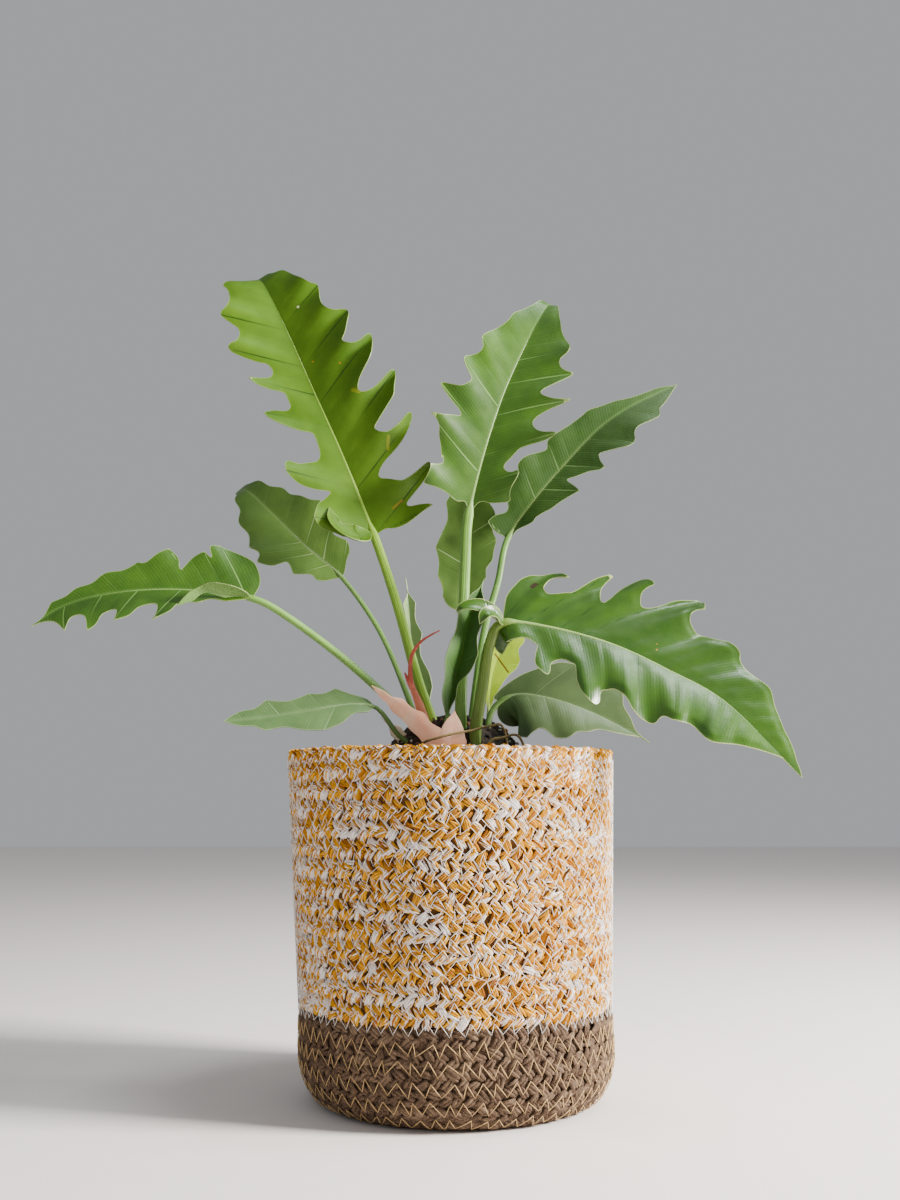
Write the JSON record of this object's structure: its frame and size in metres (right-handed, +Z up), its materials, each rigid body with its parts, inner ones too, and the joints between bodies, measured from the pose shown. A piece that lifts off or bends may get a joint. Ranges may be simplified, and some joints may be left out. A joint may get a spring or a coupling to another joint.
{
  "type": "potted houseplant",
  "caption": "Potted philodendron with narrow, deeply lobed leaves on long stalks, in a nursery pot inside a two-tone braided rope basket.",
  "frame": {"origin": "centre of the basket's underside", "axes": "+Z up, +X towards the large front leaf, and +Y away from the side that the leaves face"},
  "size_m": [0.6332, 0.2804, 0.7641],
  "materials": {
    "leaf": "satin green leaf and stalk",
    "pale_leaf": "pale grey-green leaf and stalk",
    "lime_leaf": "lime green leaf and stalk",
    "sheath": "smooth peach pink",
    "dry_sheath": "dry and papery cream",
    "shoot": "smooth brick red",
    "root": "rough olive brown",
    "soil": "loose crumbs with pale specks",
    "plastic": "moulded black",
    "jute": "flat jute braid with pale zigzag stitches",
    "cotton": "flat braid of mustard yellow and white yarns"
  },
  "bodies": {
    "root": {"leaf_tall_left": "leaf", "leaf_back_left": "leaf", "leaf_far_left": "leaf", "leaf_low_left": "pale_leaf", "leaf_narrow_back": "pale_leaf", "leaf_tall_centre": "leaf", "leaf_upper_right": "leaf", "leaf_back_centre": "leaf", "leaf_young_folded": "leaf", "leaf_front_right": "leaf", "leaf_small_back": "lime_leaf", "leaf_low_right": "leaf", "sheath_large": "sheath", "sheath_small": "sheath", "sheath_dry": "dry_sheath", "aerial_root_left": "root", "aerial_root_right": "root", "new_shoot": "shoot", "soil": "soil", "grow_pot": "plastic", "basket_foot": "jute", "basket_wall": "cotton"}
  },
  "joints": []
}
